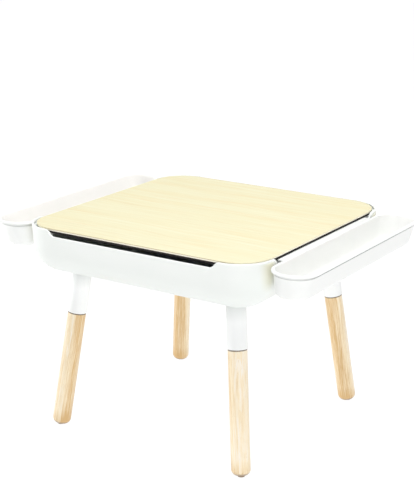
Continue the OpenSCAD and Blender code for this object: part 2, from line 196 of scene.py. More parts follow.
plasticLook = {
    "light": (0.900, 0.920, 0.905),
    "dark": (0.875, 0.900, 0.882),
    "mottle": {"scale": 9.0, "detail": 3, "rough": 0.55, "distortion": 0.2},
    "mottleSpan": (0.35, 0.65),
    "dust": (0.20, 0.21, 0.20),   # painted shadow in the groove under a tray's lip
    "dustShare": 0.85,
    "inside": (0.95, 0.925, 0.91),   # painted shade: a tray's inside is a little greyer
    "warm": (0.99, 0.94, 0.78),   # painted warm shade on the tub's corners, in the gap beside a tray's end
    "smudge": {"scale": 45.0, "detail": 4, "rough": 0.6},
    "spark": {"scale": 1400.0, "detail": 2, "rough": 0.6},
    "sparkHeight": 0.10,
    "flow": {"scale": 18.0, "detail": 2, "rough": 0.5},
    "gloss": (0.30, 0.42),   # roughness, least and most
    "relief": (0.10, 0.6),   # strength, depth
    "sockets": {
        "IOR": 1.49, "Subsurface Weight": 0.06,
        "Subsurface Radius": (0.004, 0.004, 0.0045), "Subsurface Scale": 1.0,
    },
}


def mouldedPlastic(name, look, tint, shade=None):
    material, tree, shader = newFinish(name)
    place = objectPlace(tree)
    low, high = look["mottleSpan"]
    light, dark = (tuple(a * b for a, b in zip(look[tone], tint)) for tone in ("light", "dark"))
    base = ramp(tree, noise(tree, place, look["mottle"]), [(low, dark), (high, light)])
    # painted shadow: a dark line in the groove under a tray's lip, kept on the mesh
    dust = calc(tree, "MULTIPLY", onMesh(tree, "grooveDust"), look["dustShare"])
    base = blendColour(tree, dust, base, look["dust"])
    # painted shade inside the trays
    base = blendColour(tree, onMesh(tree, "trayInside"), base, look["inside"], "MULTIPLY")
    # painted shade, darker by height
    if shade:
        height = split(tree, place)["Z"]
        fade = remap(tree, height, shade["full"] * mm, shade["none"] * mm, shade["share"], 0.0)
        base = blendColour(tree, fade, base, shade["colour"])
    # painted warm shade in the gap beside each tray's end
    base = blendColour(tree, onMesh(tree, "gapWarmth"), base, look["warm"], "MULTIPLY")
    smudge, spark, flow = (noise(tree, place, look[k]) for k in ("smudge", "spark", "flow"))
    relief = weighed(tree, (spark, look["sparkHeight"]), (flow, 1.0))
    dress(tree, shader, base, smudge, relief, look)
    return material


veneerLook = {
    "pale": (0.80, 0.755, 0.51),
    "warm": (0.79, 0.715, 0.445),
    "peach": (0.79, 0.64, 0.36),
    "bright": (0.84, 0.825, 0.63),
    "line": (0.56, 0.42, 0.23),
    "arris": (0.38, 0.30, 0.17),   # painted shade: a darker line along the front and back edges
    "half": 285.0,
    "corner": 75.0,
    "arrisFull": 1.21,   # distance in from the edge
    "arrisNone": 2.2,
    "arrisAlong": (0.03, 0.06, 0.8),
    "wave": {"stretch": (1.4, 3.0, 1), "scale": 1.6, "detail": 2, "rough": 0.5},
    "waveDrift": (0.0, 0.035, 0.0),
    "bands": {"stretch": (0.9, 17.0, 1), "shift": (0.31, 1.7, 0), "scale": 1.5, "detail": 3, "rough": 0.55},
    "streaks": {"stretch": (3.2, 95.0, 1), "shift": (4.1, 0.4, 0), "scale": 1.2, "detail": 4, "rough": 0.66},
    "lines": {"stretch": (4.5, 230.0, 1), "shift": (0.7, 9.2, 0), "scale": 1.3, "detail": 3, "rough": 0.7},
    "pores": {"stretch": (45.0, 900.0, 1), "scale": 1.2, "detail": 2, "rough": 0.6},
    "bandSpan": (0.32, 0.55),
    "peachShare": (0.54, 0.72, 0.62),   # where in its noise a tone starts and is full, and its most
    "brightShare": (0.47, 0.31, 0.85),
    "lineShare": (0.59, 0.78, 0.42),
    "poreShare": (0.66, 0.78, 0.28),
    "lineHeight": 0.6,
    "poreDepth": 1.2,
    "gloss": (0.34, 0.46),
    "relief": (0.16, 0.4),
    "sockets": {"Coat Weight": 0.12, "Coat Roughness": 0.35},
}


def edgeDistance(tree, place, half, corner):
    # distance in from the lid's rounded square outline, and how far it is a front or back edge, metres
    parts = split(tree, place)
    outward = [calc(tree, "SUBTRACT", calc(tree, "ABSOLUTE", parts[k]), (half - corner) * mm) for k in "XY"]
    posX, posY = (calc(tree, "MAXIMUM", out, 0.0) for out in outward)
    squares = calc(tree, "ADD", calc(tree, "MULTIPLY", posX, posX), calc(tree, "MULTIPLY", posY, posY))
    inset = calc(tree, "SUBTRACT", corner * mm, calc(tree, "SQRT", squares))
    return inset, calc(tree, "SUBTRACT", posY, posX)


def lidVeneer(look):
    material, tree, shader = newFinish("paleVeneer")
    place = objectPlace(tree)
    low, high = look["bandSpan"]
    flowing = drift(tree, noise(tree, place, look["wave"]), look["waveDrift"], place)
    bands, streaks = noise(tree, flowing, look["bands"]), noise(tree, flowing, look["streaks"])
    lines, pores = noise(tree, flowing, look["lines"]), noise(tree, flowing, look["pores"])
    speck = grow(tree, pores, look["poreShare"])
    base = ramp(tree, bands, [(low, look["warm"]), (high, look["pale"])])
    for layer, tone in ((streaks, "peach"), (lines, "bright"), (lines, "line")):
        base = blendColour(tree, grow(tree, layer, look[tone + "Share"]), base, look[tone])
    base = blendColour(tree, speck, base, look["line"])
    inset, facing = edgeDistance(tree, place, look["half"], look["corner"])
    # painted shade along the lid's front and back edges
    arris = remap(tree, inset, look["arrisFull"] * mm, look["arrisNone"] * mm, 1.0, 0.0)
    arris = calc(tree, "MULTIPLY", arris, grow(tree, facing, look["arrisAlong"]))
    base = blendColour(tree, arris, base, look["arris"])
    relief = weighed(tree, (lines, look["lineHeight"]), (speck, -look["poreDepth"]))
    dress(tree, shader, base, streaks, relief, look)
    return material


beechLook = {
    # the palest tone is painted light on a leg's outer side
    "sap": (1.0, 0.92, 0.80),
    "pale": (0.97, 0.82, 0.57),
    "tan": (0.69, 0.44, 0.175),
    "toneStops": (0.24, 0.43, 0.80),   # of the three tones above
    "fleck": (0.52, 0.32, 0.16),
    "fleckShare": (0.64, 0.76, 0.42),
    "fleckDepth": 0.6,
    "scorch": (0.07, 0.045, 0.025),
    "scorchSpan": (-3.0, -1.9, 0.9),   # the dark line under the socket; heights up the leg from its shoulder
    "foot": (0.16, 0.09, 0.05),
    "footSpan": (-254.5, -259.5, 0.85),   # painted shadow: a dark rim where the leg stands on the floor
    "endSpan": (-225.0, -256.0, 0.22),   # the wood is darker towards the foot
    "sapSpan": (-5.0, 12.0, 1.0),   # and paler on its outer side: painted light, with the inner side left darker as painted shade
    "sapShare": 0.28,
    "seedDrift": (0.9, 0.4, 0.7),
    "sway": {"stretch": (4.0, 4.0, 1.8), "scale": 1.5, "detail": 2, "rough": 0.5},
    "swayDrift": (0.03, 0.02, 0.0),
    "rings": {"Scale": 95.0, "Distortion": 1.6, "Detail": 2.0, "Detail Scale": 0.6},
    "ringStretch": (0.9, 0.9, 0.03),
    "ringShare": 0.12,
    "tone": {"stretch": (170.0, 170.0, 7.0), "detail": 3, "rough": 0.6},
    "toneShare": 0.62,
    "fibre": {"stretch": (420.0, 420.0, 26.0), "detail": 4, "rough": 0.7},
    "fibreShare": 0.66,
    "broad": {"stretch": (24.0, 24.0, 0.8), "detail": 1, "rough": 0.4},
    "broadShare": 0.14,    # change of tone round one leg
    "apartShare": 0.06,    # change of tone from leg to leg
    "flecks": {"stretch": (900.0, 900.0, 120.0), "detail": 2, "rough": 0.5},
    "uneven": {"stretch": (150.0, 150.0, 20.0), "detail": 3, "rough": 0.6},
    "unevenRun": 1.6,   # how far the dark lines waver up and down
    "gloss": (0.36, 0.5),
    "relief": (0.14, 0.3),
    "sockets": {"Coat Weight": 0.8, "Coat Roughness": 0.32},
}


def turnedBeech(look):
    # reads each leg's own place, kept on the mesh in metres, +Z up the leg
    material, tree, shader = newFinish("turnedBeech")
    own, seed = onMesh(tree, "grainPlace", "Vector"), onMesh(tree, "pieceSeed")
    place = drift(tree, seed, look["seedDrift"], own)
    flowing = drift(tree, noise(tree, place, look["sway"]), look["swayDrift"], place)
    rings = put(tree, "ShaderNodeTexWave", wave_type="BANDS", bands_direction="X", wave_profile="SAW",
                Vector=stretched(tree, flowing, look["ringStretch"]), **look["rings"])
    fibre, tone = noise(tree, flowing, look["fibre"]), noise(tree, flowing, look["tone"])
    broad, flecks, uneven = (noise(tree, place, look[k]) for k in ("broad", "flecks", "uneven"))
    broad, seed, uneven = (calc(tree, "SUBTRACT", value, 0.5) for value in (broad, seed, uneven))
    parts = split(tree, own)
    # painted light: paler towards each leg's own +X side
    outer, end = grow(tree, parts["X"], look["sapSpan"], mm), grow(tree, parts["Z"], look["endSpan"], mm)
    shade = weighed(tree, (rings.outputs["Fac"], look["ringShare"]), (tone, look["toneShare"]),
                    (fibre, look["fibreShare"]), (broad, look["broadShare"]), (seed, look["apartShare"]),
                    (outer, -look["sapShare"]), (end, 1.0))
    base = ramp(tree, shade, list(zip(look["toneStops"], (look["sap"], look["pale"], look["tan"]))))
    mark = grow(tree, flecks, look["fleckShare"])
    level = weighed(tree, (parts["Z"], 1.0), (uneven, look["unevenRun"] * mm))
    base = blendColour(tree, mark, base, look["fleck"])
    # the foot's dark rim is a painted shadow; the joint line is the dark line under the socket
    for tone in ("foot", "scorch"):
        base = blendColour(tree, grow(tree, level, look[tone + "Span"], mm), base, look[tone])
    relief = weighed(tree, (fibre, 1.0), (mark, -look["fleckDepth"]))
    dress(tree, shader, base, fibre, relief, look)
    return material


# plainer finishes: two tones that follow the noises by their shares; one noise rubs, one gives the relief
edgeLook = {
    "light": (0.95, 0.91, 0.78), "dark": (0.92, 0.86, 0.68), "span": (0.36, 0.58),
    "noises": [{"stretch": (6.0, 6.0, 700.0), "scale": 1.5, "detail": 3, "rough": 0.6},
               {"stretch": (30.0, 30.0, 4.0), "scale": 1.5, "detail": 3, "rough": 0.6}],
    "shares": (0.6, 0.4), "rubs": 1, "raises": 0, "gloss": (0.42, 0.56), "relief": (0.12, 0.3),
}
boardLook = {
    "light": (0.032, 0.026, 0.026), "dark": (0.010, 0.008, 0.008), "span": (0.40, 0.62),
    "noises": [{"stretch": (260.0, 260.0, 900.0), "detail": 4, "rough": 0.65},
               {"scale": 14.0, "detail": 3, "rough": 0.5}],
    "shares": (0.5, 0.5), "rubs": 0, "raises": 0, "gloss": (0.55, 0.75), "relief": (0.25, 0.3),
    "sockets": {"Specular IOR Level": 0.2},
}
coreLook = {
    "light": (0.62, 0.47, 0.30), "dark": (0.42, 0.30, 0.18), "span": (0.38, 0.62),
    "noises": [{"scale": 420.0, "detail": 4, "rough": 0.7}],
    "shares": (1.0,), "rubs": 0, "raises": 0, "gloss": (0.75, 0.9), "relief": (0.3, 0.3),
}
# partly painted shadow: the glide is a darker brown than its tan plastic, for the dark line under each foot
glideLook = {
    "light": (0.36, 0.25, 0.15), "dark": (0.24, 0.16, 0.09), "span": (0.36, 0.64),
    "noises": [{"scale": 240.0, "detail": 4, "rough": 0.7}],
    "shares": (1.0,), "rubs": 0, "raises": 0, "gloss": (0.45, 0.7), "relief": (0.2, 0.3),
}
metalGrain = {
    "span": (0.35, 0.65),
    "noises": [{"scale": 160.0, "detail": 3, "rough": 0.6},
               {"stretch": (500.0, 500.0, 2600.0), "detail": 2, "rough": 0.5}],
    "shares": (1.0,), "rubs": 0, "raises": 1, "relief": (0.2, 0.2), "sockets": {"Metallic": 1.0},
}
steelLook = {**metalGrain, "light": (0.66, 0.66, 0.64), "dark": (0.46, 0.47, 0.47), "gloss": (0.26, 0.44)}
zincLook = {**metalGrain, "light": (0.70, 0.70, 0.68), "dark": (0.50, 0.51, 0.52), "gloss": (0.22, 0.40)}
brassLook = {**metalGrain, "light": (0.76, 0.60, 0.30), "dark": (0.56, 0.40, 0.17), "gloss": (0.24, 0.42)}


def plainFinish(name, look):
    material, tree, shader = newFinish(name)
    place = objectPlace(tree)
    low, high = look["span"]
    noises = [noise(tree, place, how) for how in look["noises"]]
    mixed = weighed(tree, *zip(noises, look["shares"]))
    base = ramp(tree, mixed, [(low, look["dark"]), (high, look["light"])])
    dress(tree, shader, base, noises[look["rubs"]], noises[look["raises"]], look)
    return material


# painted shade: the plastic is a little greyer low on the tub, and a painted shadow greys each socket where
# it meets the tub; heights in millimetres
lowShade = {"full": 372.0, "none": 436.0, "share": 0.6, "colour": (0.78, 0.815, 0.79)}
topShade = {"full": 356.0, "none": 318.0, "share": 0.7, "colour": (0.62, 0.65, 0.63)}
finishes = {
    # painted light: one white plastic, tinted brighter on the trays and sockets and a little darker on the
    # tub
    "tub": mouldedPlastic("tubPlastic", plasticLook, (0.99, 0.995, 0.985), lowShade),
    "tray": mouldedPlastic("trayPlastic", plasticLook, (1.03, 1.017, 1.02)),
    "socket": mouldedPlastic("socketPlastic", plasticLook, (1.075, 1.06, 1.075), topShade),
    "veneer": lidVeneer(veneerLook),
    "edging": plainFinish("creamEdging", edgeLook),
    "board": plainFinish("darkBoard", boardLook),
    "core": plainFinish("fibreCore", coreLook),
    "beech": turnedBeech(beechLook),
    "glide": plainFinish("tanGlide", glideLook),
    "steel": plainFinish("platedSteel", steelLook),
    "screw": plainFinish("zincScrew", zincLook),
    "brass": plainFinish("turnedBrass", brassLook),
}
nodeFinish = {
    "tub": "tub", "lid_core": "core", "lid_top_veneer": "veneer", "lid_edge_band": "edging",
    "lid_backing_board": "board", "_tray": "tray", "_socket": "socket", "_leg": "beech", "_glide": "glide",
    "_hanger_bolt": "steel", "_threaded_insert": "brass", "_socket_screws": "screw",
}
for nodeName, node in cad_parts.items():
    key = next(k for k in nodeFinish if nodeName == k or nodeName.endswith(k))
    node.data.materials.clear()
    node.data.materials.append(finishes[nodeFinish[key]])
print("finishes made:", len(finishes))


def arc(centre, radius, start, end, steps):
    # points of an arc in a section, degrees from the +x side
    turns = [radians(start + (end - start) * k / steps) for k in range(steps + 1)]
    return [(centre[0] + radius * cos(a), centre[1] + radius * sin(a)) for a in turns]


def pin(bm, places):
    # a vertex at each place
    return [bm.verts.new([c * mm for c in place]) for place in places]


def skin(bm, columns):
    # quads between neighbouring columns of places; the ends are capped
    verts = [pin(bm, column) for column in columns]
    for left, right in zip(verts, verts[1:] + verts[:1]):
        for k in range(len(left) - 1):
            bm.faces.new((left[k], right[k], right[k + 1], left[k + 1]))
    bm.faces.new([column[0] for column in reversed(verts)])
    bm.faces.new([column[-1] for column in verts])
    return verts


def joinLoops(bm, loops, closed=False):
    # quads between neighbouring loops of vertices; the ends are capped, or meet
    for near, far in zip(loops, loops[1:] + (loops[:1] if closed else [])):
        for k in range(len(near)):
            m = (k + 1) % len(near)
            bm.faces.new((near[k], near[m], far[m], far[k]))
    if not closed:
        bm.faces.new(loops[0])
        bm.faces.new(loops[-1])


meshRules = {"weld": 0.02, "sharp": 38, "bevelSteps": 2}   # sharp: degrees between two faces


def finishMesh(name, bm, material):
    bmesh.ops.remove_doubles(bm, verts=bm.verts, dist=meshRules["weld"] * mm)
    bmesh.ops.recalc_face_normals(bm, faces=bm.faces)
    mesh = bpy.data.meshes.new(name)
    bm.to_mesh(mesh)
    bm.free()
    mesh.materials.append(material)
    mesh.shade_smooth()
    mesh.set_sharp_from_angle(angle=radians(meshRules["sharp"]))
    return link(name, mesh)


def soften(bm, edges, size):
    bmesh.ops.bevel(bm, geom=edges, offset=size * mm, segments=meshRules["bevelSteps"], profile=0.5,
                    affect="EDGES")


def plainMesh(piece):
    # what its modifiers make of a piece
    bpy.context.view_layer.update()
    return bpy.data.meshes.new_from_object(piece.evaluated_get(bpy.context.evaluated_depsgraph_get()))


def squareStations(half, corner, stops, steps):
    # stations round a rounded square: (corner centre or side foot, outward direction, place along the side)
    core = half - corner
    stations = []
    for turn in range(4):
        spin = Matrix.Rotation(turn * pi / 2, 2)
        for t in stops:
            stations.append((spin @ Vector((core, t)), spin @ Vector((1, 0)), t))
        for k in range(steps + 1):
            a = pi / 2 * k / steps
            stations.append((spin @ Vector((core, core)), spin @ Vector((cos(a), sin(a))), core))
    return stations


def standOut(station, corner, x, z):
    foot, outward, along = station
    flat = foot + outward * (corner + x)
    return (flat.x, flat.y, z)


tubShape = {
    "half": 294.0, "corner": 79.0, "rim": 466.0, "depth": 105.0, "wall": 3.0, "draft": 4.3, "fillet": 62.0,
    "rimThick": 5.5, "rimRound": 2.0, "rimDown": 2.0,
    "outerLevels": (0.06, 0.5, 0.92), "innerLevels": (0.06, 0.94),   # points up each side of the wall
    "notchDepth": 13.5, "notchHalf": 194.0, "notchRun": 20.0, "notchEntry": 14.0, "notchSteps": 14,
    "sideStops": [-190.0, -97.0, 0.0, 97.0, 190.0],
    "cornerSteps": 28, "filletSteps": 22, "roundSteps": 6,
    "shelfTop": 457.7, "shelfReach": 14.0, "shelfThick": 3.0, "shelfRun": 8.0, "shelfSoft": 0.6,
    "shelfSteps": 16,
    "warmFrom": (283, 292), "warmPast": (206, 222), "warmLow": (392, 425),   # painted warm shade beside the trays' ends
    "ribThick": 2.4, "ribHigh": 6.0, "ribInto": 0.6, "ribSoft": 0.5,
    "ribAt": 65.0, "ribHalf": 220.0, "sideRibAt": 194.6, "sideRibHalf": 162.2,
}


def notchHeight(s, t):
    # height of the rim's top at a place along a side
    low, high, half, run = s["rim"] - s["notchDepth"], s["rim"], s["notchHalf"], s["notchRun"]
    entry, t = radians(s["notchEntry"]), abs(t)
    steepest = 2 * atan(s["notchDepth"] / run) - entry
    r = run / 2 / (sin(steepest) - sin(entry))
    if t <= half:
        return low
    if t >= half + run:
        return high
    if t < half + run / 2:
        away = t - (half - r * sin(entry))
        return low + r * cos(entry) - sqrt(r * r - away * away)
    away = t - (half + run + r * sin(entry))
    return high - r * cos(entry) + sqrt(r * r - away * away)


def tubSection(s, top):
    # from the underside of the floor, up the outside, over the rim and down the inside
    slope, rr, thick, fillet = radians(s["draft"]), s["rimRound"], s["rimThick"], s["fillet"]
    step = lambda z: (s["rim"] - z) * tan(slope)
    centreZ = s["rim"] - s["depth"] + fillet
    centre = (-step(centreZ) - fillet / cos(slope), centreZ)
    inner = s["wall"] / cos(slope)
    points = arc(centre, fillet, -90, -s["draft"], s["filletSteps"])
    lowWall = points[-1][1]
    for share in s["outerLevels"]:
        z = lowWall + (top - rr - lowWall) * share
        points.append((-step(z), z))
    points += arc((-step(top - rr) - rr, top - rr), rr, 0, 90, s["roundSteps"])
    points += arc((-thick + rr, top - rr), rr, 90, 180, s["roundSteps"])
    points.append((-thick, top - rr - s["rimDown"]))
    kink = s["rim"] - (thick - inner) / tan(slope)   # where the thick rim runs out into the wall
    points.append((-thick, kink + 1))
    for share in s["innerLevels"]:
        z = kink + (lowWall - kink) * share
        points.append((-step(z) - inner, z))
    points += arc(centre, fillet - s["wall"], -s["draft"], -90, s["filletSteps"])
    return points


def box(bm, low, high, soft):
    corners = bmesh.ops.create_cube(bm, size=1.0)["verts"]
    for v in corners:
        v.co = Vector([(a + b) / 2 + c * (b - a) for a, b, c in zip(low, high, v.co)]) * mm
    soften(bm, list({e for v in corners for e in v.link_edges}), soft)


def ease(value, span):
    # 0 below the span, 1 above it
    return min(max((value - span[0]) / (span[1] - span[0]), 0.0), 1.0)


def addShelves(bm, s):
    # a shelf in each corner for the lid
    soft, top, core = s["shelfSoft"], s["shelfTop"], s["half"] - s["corner"]
    low = top - s["shelfThick"]
    root, tip = -s["rimThick"] + soft, -s["rimThick"] - s["shelfReach"]
    ledge = [(root, top), (tip + soft, top), (tip, top - soft), (tip, low + soft), (tip + soft, low),
             (root, low - root + tip)]
    turns = [pi / 2 * k / s["shelfSteps"] for k in range(s["shelfSteps"] + 1)]
    path = [(Vector((core, core - s["shelfRun"])), Vector((1, 0)))]
    path += [(Vector((core, core)), Vector((cos(a), sin(a)))) for a in turns]
    path.append((Vector((core - s["shelfRun"], core)), Vector((0, 1))))
    for turn in range(4):
        spin = Matrix.Rotation(turn * pi / 2, 2)
        joinLoops(bm, [pin(bm, [(*(spin @ (foot + out * (s["corner"] + x))), z) for x, z in ledge])
                       for foot, out in path])


def mouldTub(s):
    bm = bmesh.new()
    ends = [s["notchHalf"] + s["notchRun"] * k / s["notchSteps"] for k in range(s["notchSteps"] + 1)]
    stops = [-t for t in reversed(ends)] + s["sideStops"] + ends
    columns = []
    for station in squareStations(s["half"], s["corner"], stops, s["cornerSteps"]):
        section = tubSection(s, notchHeight(s, station[2]))
        columns.append([standOut(station, s["corner"], x, z) for x, z in section])
    # painted warm shade on the tub's outside where a tray's end comes close
    gapShade = bm.verts.layers.float.new("gapWarmth")
    outside = s["filletSteps"] + 1 + len(s["outerLevels"])   # points of a section up to the rim
    for column in skin(bm, columns):
        for v in column[:outside]:
            x, y, z = (abs(c) / mm for c in v.co)
            v[gapShade] = ease(x, s["warmFrom"]) * ease(y, s["warmPast"]) * ease(z, s["warmLow"])
    addShelves(bm, s)
    # stiffening ribs under the floor
    floorZ = s["rim"] - s["depth"]
    low, high = floorZ - s["ribHigh"], floorZ + s["ribInto"]
    for at, half in ((s["ribAt"], s["ribHalf"]), (s["sideRibAt"], s["sideRibHalf"])):
        for side in (-1, 1):
            a, b = side * at - s["ribThick"] / 2, side * at + s["ribThick"] / 2
            box(bm, (a, -half, low), (b, half, high), s["ribSoft"])
            box(bm, (-half, a, low), (half, b, high), s["ribSoft"])
    return finishMesh("moulded_tub", bm, finishes["tub"])


tub = mouldTub(tubShape)
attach(tub, "table")
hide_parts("tub")
print("tub moulded:", len(tub.data.polygons), "faces")

lidShape = {
    "half": 285.0, "corner": 75.0, "cornerSteps": 28, "sideStops": [-150, -50, 50, 150],
    "top": 466.0, "veneer": 465.3, "join": 462.5, "low": 458.0,
    "ease": 0.5, "flatFrom": 2.5, "hiddenFrom": 3.0,   # in from the edge
    "veneerSoft": 0.02, "boardSoft": 0.15, "bandSoft": 0.12, "bandTopSoft": 0.05, "bandWidth": 2.0,
}


def roundLid(s, section):
    # the section at each station round the lid's outline
    stations = squareStations(s["half"], s["corner"], s["sideStops"], s["cornerSteps"])
    return [[standOut(station, s["corner"], x, z) for x, z in section] for station in stations]


def makeLid(s):
    e, top, veneer, join, low, hidden = (s[k] for k in ("ease", "top", "veneer", "join", "low", "hiddenFrom"))
    soft = s["veneerSoft"]
    over = [(-hidden, veneer), (-soft, veneer), (0, veneer + soft)]
    over += arc((-e, top - e), e, 0, 90, 4) + [(-s["flatFrom"], top)]
    soft = s["boardSoft"]
    under = [(-hidden, low)] + arc((-e, low + e), e, -90, 0, 3)
    under += [(0, join - soft), (-soft, join), (-hidden, join)]
    made = []
    for name, section, finish in (("lid_veneer_sheet", over, "veneer"), ("lid_dark_board", under, "board")):
        bm = bmesh.new()
        skin(bm, roundLid(s, section))
        made.append(finishMesh(name, bm, finishes[finish]))
    wide, soft, topSoft = s["bandWidth"], s["bandSoft"], s["bandTopSoft"]
    ring = [(-wide, join), (-soft, join), (0, join + soft), (0, veneer - topSoft), (-topSoft, veneer),
            (-wide, veneer)]
    bm = bmesh.new()
    joinLoops(bm, [pin(bm, places) for places in roundLid(s, ring)], closed=True)
    return made + [finishMesh("lid_edge_strip", bm, finishes["edging"])]


for piece, nodeName, slot in zip(makeLid(lidShape), ("lid_top_veneer", "lid_backing_board", "lid_edge_band"),
                                 ("lid_veneer", "lid_backing", "lid_edging")):
    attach(piece, "lid")
    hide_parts(nodeName)
print("lid laid on")

trayShape = {
    "start": 297.0, "width": 99.0, "half": 268.0, "corner": 47.0, "top": 457.0, "depth": 59.0,
    "wall": 2.5, "draft": 17.0, "innerDraft": 2.0, "fillet": 16.0, "wallFrom": 4.0,
    "lipReach": 4.5, "lipThick": 3.0, "lipRound": 2.0, "lipSteps": 7,
    "skirt": 2.2, "skirtHigh": 4.5, "skirtSoft": 0.4, "skirtEdge": 0.5,
    "groove": 1.7, "grooveLow": 10.6, "grooveEase": 0.3, "grooveRun": 0.2,
    "mouth": ((1.6, 0.0), (0.9, 0.06), (0.3, 0.45)),   # the lip's top rolls into the wall: before it, down
    "innerLevels": (1.3, 5.0),
    "cornerSteps": 18, "filletSteps": 10,
    "hookAt": -11.5, "hookThick": 2.5, "hookDrop": 16.0, "hookRound": 1.4, "hookHalf": 189.0,
    "hookSoft": 0.8, "hookEase": 0.5, "hookSink": 0.04, "crown": 1.2,
    "crownRun": ((5.5, 1.0, 0.0), (4.2, 1.0, 0.05), (3.0, 0.8, 0.0),   # place, share of the crown below the
                 (-2.0, 0.2, 0.0), (-3.2, 0.0, -0.05), (-4.6, 0.0, 0.0)),   # top, and a touch more
    "plateUnder": (4.4, -3.2),
    "ribs": 5, "ribThick": 3.0, "ribHigh": 18.0, "ribInto": 0.6, "ribReach": 1.2, "ribSoft": 0.25,
    "ribUnder": 0.3, "ribBend": -3.0, "seat": 452.8, "outside": -2.4,
    "insideGrey": {-1: 1.0, 1: 0.3},   # painted shade on the inside of each tray: left, right
    "dustFrom": 0.55,   # no painted shadow at the trays' ends
}


def oblong(low, high, half, radius, z, steps):
    # one level ring of a tray, with a few points along each straight side
    ring = []
    corners = ((high - radius, half - radius, 0), (low + radius, half - radius, 90),
               (low + radius, radius - half, 180), (high - radius, radius - half, 270))
    for cx, cy, start in corners:
        ring += [(x, y, z) for x, y in arc((cx, cy), radius, start, start + 90, steps)]
    out = []
    for k, point in enumerate(ring):
        out.append(point)
        if k % (steps + 1) == steps:   # the straight side that follows
            after = ring[(k + 1) % len(ring)]
            for share in (0.04, 0.5, 0.96):
                out.append(tuple(a + (b - a) * share for a, b in zip(point, after)))
    return out


def trayRings(s):
    # level rings from the underside, up the outside, over the lip and down to the floor
    rings, marks = [], {}
    slope, innerSlope = radians(s["draft"]), radians(s["innerDraft"])
    top, lipLow, skirt, reach = s["top"], s["top"] - s["lipThick"], s["skirt"], s["lipReach"]
    centreZ = top - s["depth"] + s["fillet"]

    def ring(z, inset, near):
        rings.append(oblong(near, s["width"] - inset, s["half"] - inset, s["corner"] - inset, z,
                            s["cornerSteps"]))

    def lip(inset, z):
        ring(z, inset, inset)

    def wallAt(z, thick):
        outer, inner = ((top - z) * tan(a) + thick / cos(a) for a in (slope, innerSlope))
        ring(z, reach + outer, reach + inner)

    def floorEdge(thick, upwards):
        r = s["fillet"] - thick
        outer, inner = ((top - centreZ) * tan(a) + s["fillet"] / cos(a) for a in (slope, innerSlope))
        shares = [k / s["filletSteps"] for k in range(s["filletSteps"] + 1)]
        for share in shares if upwards else reversed(shares):
            a = radians(90) + (slope - radians(90)) * share
            ring(centreZ - r * sin(a), reach + outer - r * cos(a), reach + inner - r * cos(a))

    floorEdge(0, True)
    wallAt(centreZ + s["wallFrom"], 0)
    grooveZ = top - s["grooveLow"]
    wallAt(grooveZ - s["grooveEase"], 0)
    marks["groove"] = len(rings)
    wallAt(grooveZ, s["grooveEase"])   # a groove under the lip, where its turned edge hides the wall
    wallAt(grooveZ + s["grooveRun"], s["groove"])
    wallAt(lipLow, s["groove"])
    lip(skirt + s["skirtEdge"], lipLow)
    marks["skirt"] = len(rings)
    soft, edge, skirtLow = s["skirtSoft"], s["skirtEdge"], top - s["skirtHigh"]
    for inset, z in ((skirt, lipLow - soft), (skirt, skirtLow + soft), (skirt - soft, skirtLow),
                     (edge, skirtLow), (0, skirtLow + edge)):
        lip(inset, z)
    for x, z in arc((-s["lipRound"], top - s["lipRound"]), s["lipRound"], 0, 90, s["lipSteps"]):
        lip(-x, z)
    mouth = reach + s["wall"] / cos(slope)
    for before, down in s["mouth"]:
        lip(mouth - before, top - down)
    marks["inside"] = len(rings)
    for down in s["innerLevels"]:
        wallAt(top - down, s["wall"])
    wallAt(centreZ + s["wallFrom"], s["wall"])
    floorEdge(s["wall"], False)
    return rings, marks


def addHook(bm, s, place):
    # a plate over the tub's notch and a leg inside the lid's gap
    top, at, r = s["top"] - s["hookSink"] + s["crown"], s["hookAt"], s["hookRound"]
    lipLow, inside, foot = s["top"] - s["lipThick"], at + s["hookThick"], s["top"] - s["hookDrop"]
    under, soft = lipLow + s["crown"], s["hookSoft"]
    shape = [(x, top - s["crown"] * share + more) for x, share, more in s["crownRun"]]
    shape += arc((at + r, top - r), r, 90, 180, 5)
    shape += [(at, foot + soft), (at + soft, foot), (inside - soft, foot), (inside, foot + soft)]
    shape += arc((inside + soft, under - soft), soft, 180, 90, 3)
    shape += [(s["plateUnder"][1], under), (s["plateUnder"][0], lipLow), (s["crownRun"][0][0], lipLow)]
    half, e = s["hookHalf"], s["hookEase"]
    loops = []
    for y, shrink in ((-half, e), (-half + e, 0), (half - e, 0), (half, e)):
        eased = [(max(x, at + shrink), y, min(max(z, foot + shrink), top - shrink)) for x, z in shape]
        loops.append(pin(bm, [place(p) for p in eased]))
    joinLoops(bm, loops)


def mouldTray(s, name, side):
    bm = bmesh.new()
    rings, marks = trayRings(s)
    place = lambda p: ((s["start"] + p[0]) * side, p[1], p[2])
    columns = [[place(ring[k]) for ring in rings] for k in range(len(rings[0]))]
    dust = bm.verts.layers.float.new("grooveDust")
    insideShade = bm.verts.layers.float.new("trayInside")
    for column in skin(bm, columns):
        # painted shade on a tray's inside, more on the left tray than the right
        for v in column[marks["inside"]:]:
            v[insideShade] = s["insideGrey"][side]
        # how much painted shadow each column of the groove gets, none towards the ends
        thick = (s["half"] - abs(column[0].co.y) / mm) / s["corner"] - s["dustFrom"]
        for v in column[marks["groove"]:marks["skirt"]]:
            v[dust] = min(max(thick, 0.0), 1.0)
    addHook(bm, s, place)
    return finishMesh(name, bm, finishes["tray"])


for side, word in ((-1, "left"), (1, "right")):
    tray = mouldTray(trayShape, word + "_moulded_tray", side)
    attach(tray, word + "_tray")
    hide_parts(word + "_tray")
print("trays hooked on")

